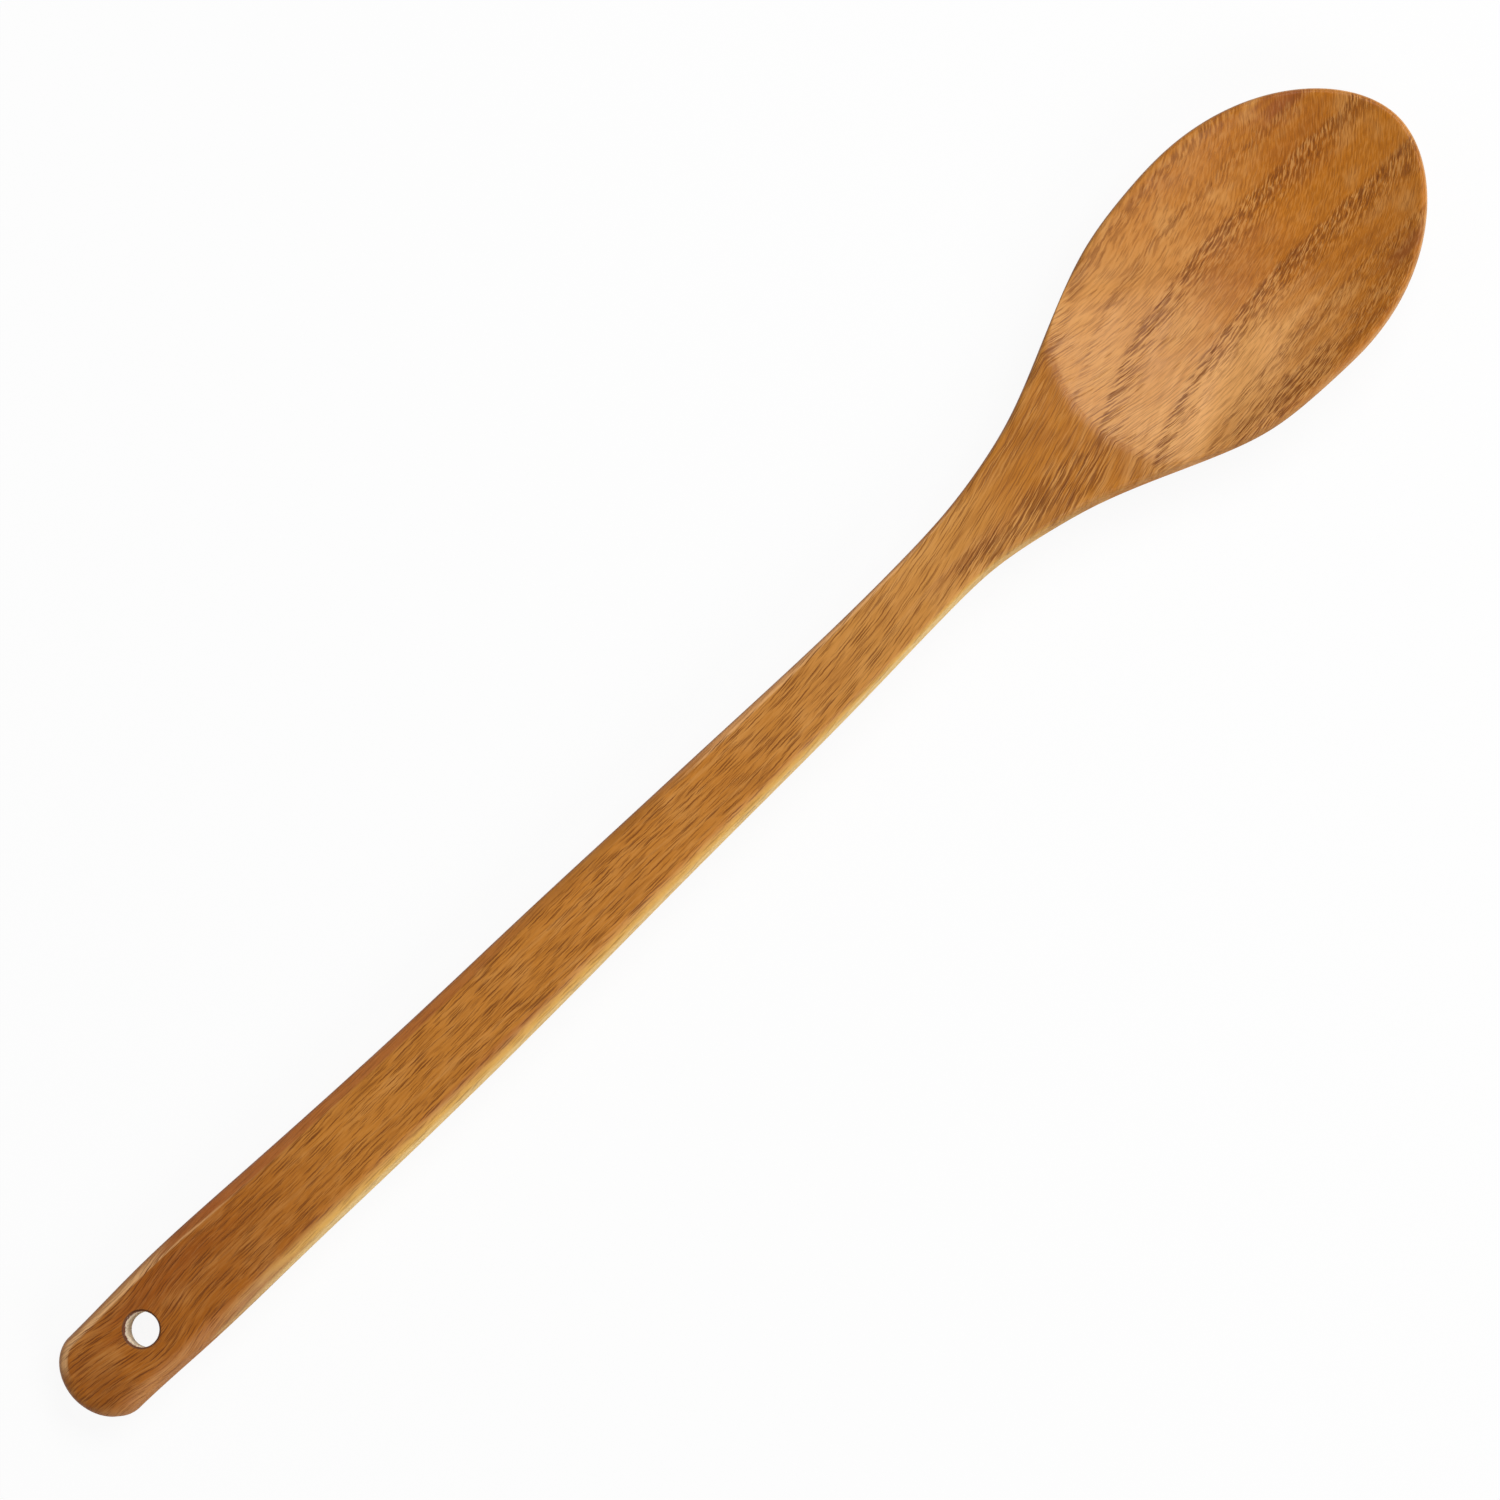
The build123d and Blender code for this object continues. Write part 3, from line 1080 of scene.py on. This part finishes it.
    shade_zone: Zone = (-177.5, -171.0, 156.0, 177.0)
    bore_edge_border: Span = (0.48, 0.18)
    bore_wall_border: Span = (0.16, 0.08)
    bore_shade_depth: Span = (0.4, 2.6)
    bore_tear: float = 7.0

    def _pore_rows(self, sheet: WoodSheet) -> Value:
        """Works out where growth rings and clusters gather the pores.

        Args:
            sheet: The material's sheet.

        Returns:
            1 where the pores stand closest, 0 where nothing gathers them.
        """
        ripple = sheet.noise(sheet.place, self.ripple) - 0.5
        wander = (sheet.noise(sheet.place, self.wander) - 0.5) * 3.0
        across = sheet.part(sheet.figure, "Y") + wander + ripple * 1.4
        stops = [(0.0, (0.0,) * 3)]
        for ring in self.rings:
            for shift, strength in ((-ring.fade, 0.0), (0.0, ring.strength), (ring.start, 0.0)):
                stops.append((0.5 + (ring.place + shift) / self.ring_span, (strength,) * 3))
        row = sheet.node("ValToRGB", {"stops": stops}, {0: across * (1 / self.ring_span) + 0.5})
        row = row * sheet.along.step(*self.row_zone)
        for cluster in self.clusters:
            near = (cluster.away(sheet) + ripple * 1.2).step(1.25, 0.45)
            row = sheet.math("MAXIMUM", row, near * cluster.strength)
        return row

    def _broad_colour(self, sheet: WoodSheet) -> Value:
        """Works out the wood's colour without its pores, which changes slowly along the spoon, with a painted
        sheen over the half of the hollow nearer the neck.

        Args:
            sheet: The material's sheet.

        Returns:
            The colour.
        """
        sway = (sheet.noise(sheet.place, self.broad) - 0.5) * self.colour_sway
        share = (sheet.along + sway) * (1 / SpoonForm().overall_length) + 0.5
        streak = sheet.noise(sheet.figure, self.streaks)
        cloud = sheet.noise(sheet.place, self.clouds)
        fray = (sheet.noise(sheet.figure, self.fraying) - 0.5) * 1.6
        plain = sheet.along.step(*self.tip_zone, 1.0, 0.4)
        calm = sheet.along.step(*self.calm_zone, 0.5, 1.0)
        hollow_sheen = sheet.attribute("hollow") * sheet.along.step(*self.hollow_sheen_zone)
        coats = [
            (streak.step(0.50, 0.74) * plain * 0.28, self.pale),
            (streak.step(0.50, 0.28) * plain * 0.26, self.dark),
            (cloud.step(0.50, 0.72) * calm * 0.34, self.pale),
            (cloud.step(0.48, 0.28) * calm * 0.30, self.dark),
            # painted sheen: the hollow's half nearer the neck lightened where the key lamp's reflection falls
            (hollow_sheen * 0.42, self.hollow_sheen_colour),
        ]
        # real stains, and the one pale patch of painted sheen, laid as coats
        for spot in self.stains_and_sheen:
            near = (spot.away(sheet) + fray).step(1.3, 0.3)
            coats.append((near * spot.strength, spot.colour))
        return sheet.paint(sheet.node("ValToRGB", {"stops": self.tones}, {0: share}), coats)

    def _edge_colour_and_light(self, sheet: WoodSheet, colour: Value) -> Value:
        """Tints the handle's two long edges and the bowl's rim, partly with painted sheen, shade and
        highlights.

        Args:
            sheet: The material's sheet.
            colour: The wood's colour.

        Returns:
            The tinted colour.
        """
        edge, side, rise = sheet.edge, sheet.attribute("side"), sheet.rise()
        streak = sheet.noise(sheet.figure, self.edge_streaks)
        ragged = sheet.along + (streak - 0.5) * self.colour_sway
        above, flank, upper = rise.step(-0.85, -0.30), rise.step(-0.45, -0.1), rise.step(0.05, 0.4)
        worn = edge.step(0.04, 0.16) * above
        leftward = side.step(0.35, 0.8)
        left, right = worn * leftward, worn * side.step(-0.35, -0.8)
        ridge_highlight = edge.between(0.01, 0.05, 0.10, 0.20) * upper * leftward
        outer = edge.step(0.01, 0.50) * right * flank
        sapwood_highlight = outer * ragged.between(*self.sapwood_highlight_zone)
        pale = left * upper * ragged.step(*self.pale_zone) * (edge.step(0.70, 0.35) * 0.55 + 0.40)
        shade = rise.step(0.85, 0.45) * above * leftward * sheet.along.between(*self.shade_zone)
        return sheet.paint(colour, (
            # pale left bevel near the hole end: light wood tone with painted sheen
            (pale * streak.step(0.30, 0.60, 0.75, 1.0), self.facet_and_highlight),
            # red-brown left bevel: wood tone and painted shade, as this bevel faces away from the lamps
            (left * ragged.between(*self.red_zone) * 0.50, self.reddish_and_shade),
            (left * ragged.between(*self.warm_zone) * 0.3, self.reddish_and_shade),
            # painted highlight: a thin pale line along the left bevel's inner crease
            (ridge_highlight * ragged.step(*self.ridge_highlight_end_zone) * 0.5, self.facet_and_highlight),
            (ridge_highlight * ragged.between(*self.ridge_highlight_zone) * 0.5, self.facet_and_highlight),
            # paler left bevel from mid-handle to the neck, partly painted highlight
            (left * upper * ragged.between(*self.far_zone) * 0.42, self.facet_and_highlight),
            (outer * ragged.step(*self.tan_zone) * 0.18, self.facet_and_highlight),
            # light band on the right edge: light wood tone and painted highlight where this bevel faces the
            # lamps
            (sapwood_highlight * 0.70, self.sapwood_and_highlight),
            # painted highlight: a bright line at the right edge's outer rim
            (edge.step(0.45, 0.95) * sapwood_highlight * 0.60, self.cream_highlight),
            # painted highlight: a pale line round the bowl's rim
            (edge.step(0.10, 0.60) * flank * sheet.along.step(*self.rim_highlight_zone) * 0.48, self.facet_and_highlight),
            (shade * 0.65, self.pore),
        ))

    def _bore_colour(self, sheet: WoodSheet, colour: Value) -> Value:
        """Gives the hanging hole a dark edge and a pale torn wall, with painted shade on the wall's upper
        part.

        Args:
            sheet: The material's sheet.
            colour: The wood's colour.

        Returns:
            The colour with the hole's own.
        """
        form = SpoonForm()
        spoke = sheet.stretch(sheet.place, (1, 1, 0), (-form.hole_x, -form.hole_y, 0))
        beyond = sheet.length(spoke) - form.hole_radius
        ring, wall = beyond.step(*self.bore_edge_border), beyond.step(*self.bore_wall_border)
        torn = (sheet.noise(sheet.place, self.torn) - 0.5) * self.bore_tear
        deep = form.end_height - sheet.part(sheet.place, "Z") + torn
        wall_and_shade = sheet.mix(deep.step(*self.bore_shade_depth), self.bore_shade, self.bore)
        return sheet.paint(colour, ((ring * 0.85, self.bore_edge), (wall, wall_and_shade)))

    def material(self) -> bpy.types.Material:
        """Builds the finish and returns its material."""
        material = bpy.data.materials.new(self.name)
        sheet = WoodSheet(material)
        swing = (sheet.noise(sheet.place, self.short_swing) - 0.5) * 0.25
        swing = swing + (sheet.noise(sheet.place, self.long_swing) - 0.5)
        swing = sheet.node("CombineXYZ", {}, {"Y": swing})
        grain = sheet.attribute("grain", "Vector")
        grain = sheet.node("VectorMath", {"operation": "ADD"}, {0: grain, 1: swing})
        colour = self._edge_colour_and_light(sheet, self._broad_colour(sheet))

        # Growth rings gather the pores in rows, and the bowl has few pores between them
        row = self._pore_rows(sheet)
        zones = (self.end_zone, self.neck_zone, self.bowl_zone)
        end, neck, bowl = (sheet.along.step(*zone) for zone in zones)
        edge = sheet.edge.step(0.04, 0.30)
        plain = 1 - edge * 0.55
        net, dashes = sheet.noise(grain, self.net), sheet.noise(grain, self.dashes)
        veins = sheet.math("MAXIMUM", self.long_pores.mask(sheet, grain), self.short_pores.mask(sheet, grain))
        crowd = row * 0.30 - bowl * 0.30 - neck * 0.25 + end * 0.30 + 1.0
        pores = (dashes + row * 0.13 - neck * 0.02 - bowl * 0.05).step(0.63, 0.67)
        depth = (row * 0.60 + bowl * 0.08 + 0.12) * plain
        colour = sheet.paint(colour, (
            (row * (bowl * 0.20 + 0.10), self.dark),
            (net.step(0.49, 0.38) * depth * 0.7, self.pale),
            (net.step(0.51, 0.61) * depth, self.pore),
            (veins * crowd * plain, self.pore),
            (pores * (1 - edge) * (row * 0.3 + 0.25), self.pore),
        ))
        colour = self._bore_colour(sheet, colour)

        # Relief: open pores, fine sanding marks and hand-worn unevenness
        unevenness = sheet.noise(sheet.place, self.unevenness)
        relief = (1 - pores) * 0.03 + (1 - net) * 0.05 + unevenness * 0.45
        bump = sheet.node("Bump", {}, {"Strength": 1.0, "Distance": MM, "Height": relief})
        flank = sheet.rise().step(0.45, 0.1)
        rough = (unevenness - 0.5) * 0.2 + pores * 0.12 + flank * 0.35 + self.roughness
        surface = {"Base Color": colour, "Roughness": rough, "Normal": bump, "Specular IOR Level": self.shine}
        sheet.show(sheet.node("BsdfPrincipled", {}, surface))
        return material


@dataclass(frozen=True)
class PaleFloor:
    """Plain white floor that keeps a faint shadow."""

    name: str = "pale_floor"
    colour: Colour = (0.86, 0.86, 0.86)
    seen_white: float = 0.92

    def material(self) -> bpy.types.Material:
        """Builds the finish and returns its material."""
        material = bpy.data.materials.new(self.name)
        sheet = ShaderSheet(material)
        matt = sheet.node("BsdfDiffuse", {}, {"Color": (*self.colour, 1.0)})
        white = sheet.node("Emission", {}, {"Color": (1, 1, 1, 1), "Strength": 1.0})
        mixed = sheet.node("MixShader", {}, {0: sheet.seen() * self.seen_white, 1: matt, 2: white})
        sheet.show(mixed)
        return material


@dataclass(frozen=True)
class Lamp:
    """One soft lamp: its place, its aim and its size in metres, and its power in watts."""

    name: str
    place: Triple
    aim: Triple
    size: Pair
    power: float

    def hang(self) -> None:
        """Hangs the lamp."""
        data = bpy.data.lights.new(self.name, "AREA")
        data.shape = "RECTANGLE"
        data.size, data.size_y = self.size
        data.energy = self.power
        lamp = bpy.data.objects.new(self.name, data)
        lamp.location = self.place
        lamp.rotation_euler = (Vector(self.aim) - Vector(self.place)).to_track_quat("-Z", "Y").to_euler()
        bpy.context.scene.collection.objects.link(lamp)


@dataclass
class Studio:
    """The floor, the soft lamps and the camera, with sizes in metres and turns in degrees."""

    floor_half: float = 15.0
    distance: float = 1.2
    lean: float = 7.0
    roll: float = 44.16
    target: Pair = (0.0033, 0.00128)
    frame_width: float = 0.2919
    sensor: float = 36.0
    clip: Pair = (0.05, 20.0)
    world_light: float = 0.10
    lamps: tuple[Lamp, ...] = (
        Lamp("key_lamp", (0.92, 0.10, 1.12), (0.08, 0.0, 0.0), (1.3, 0.7), 18.0),
        Lamp("side_lamp", (0.0, -1.15, 0.80), (0.0, 0.0, 0.0), (0.9, 0.6), 8.0),
        Lamp("fill_lamp", (-0.7, 0.8, 0.9), (0.0, 0.0, 0.0), (0.9, 0.9), 1.8),
    )

    def lay_floor(self) -> None:
        """Lays the floor that the spoon rests on."""
        bm = bmesh.new()
        bmesh.ops.create_grid(bm, x_segments=2, y_segments=2, size=self.floor_half)
        mesh = bpy.data.meshes.new("floor")
        bm.to_mesh(mesh)
        bm.free()
        floor = bpy.data.objects.new("floor", mesh)
        bpy.context.scene.collection.objects.link(floor)
        mesh.materials.append(PaleFloor().material())

    def light(self) -> None:
        """Hangs the lamps and sets the surrounding light."""
        for lamp in self.lamps:
            lamp.hang()
        world = bpy.data.worlds.new("studio")
        bpy.context.scene.world = world
        sheet = ShaderSheet(world)
        strength = sheet.seen() * (1 - self.world_light) + self.world_light
        sheet.show(sheet.node("Background", {}, {"Color": (1, 1, 1, 1), "Strength": strength}))

    def place_camera(self) -> None:
        """Sets the camera above the spoon, leaning and rolled as in the photograph."""
        lean, roll = math.radians(self.lean), math.radians(self.roll)
        along, across = Vector((1, 0, 0)), Vector((0, math.cos(lean), math.sin(lean)))
        right = math.cos(roll) * along - math.sin(roll) * across
        up = math.sin(roll) * along + math.cos(roll) * across
        back = right.cross(up)
        data = bpy.data.cameras.new("camera")
        data.sensor_width = self.sensor
        data.lens = self.sensor * self.distance / self.frame_width
        data.clip_start, data.clip_end = self.clip
        camera = bpy.data.objects.new("camera", data)
        turn = Matrix((right, up, back)).transposed().to_4x4()
        camera.matrix_world = Matrix.Translation(Vector((*self.target, 0)) + back * self.distance) @ turn
        bpy.context.scene.collection.objects.link(camera)
        bpy.context.scene.camera = camera


def main() -> None:
    """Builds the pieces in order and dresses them."""
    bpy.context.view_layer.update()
    body = SpoonBody()
    piece = body.build()
    piece.data.materials.append(OiledHardwood().material())
    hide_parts("spoon")
    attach(piece, "root")
    log.info("%s: %d faces", piece.name, len(piece.data.polygons))
    studio = Studio()
    studio.lay_floor()
    studio.light()
    studio.place_camera()
    bpy.context.scene.view_settings.view_transform = "Standard"


if __name__ == "__main__":
    main()
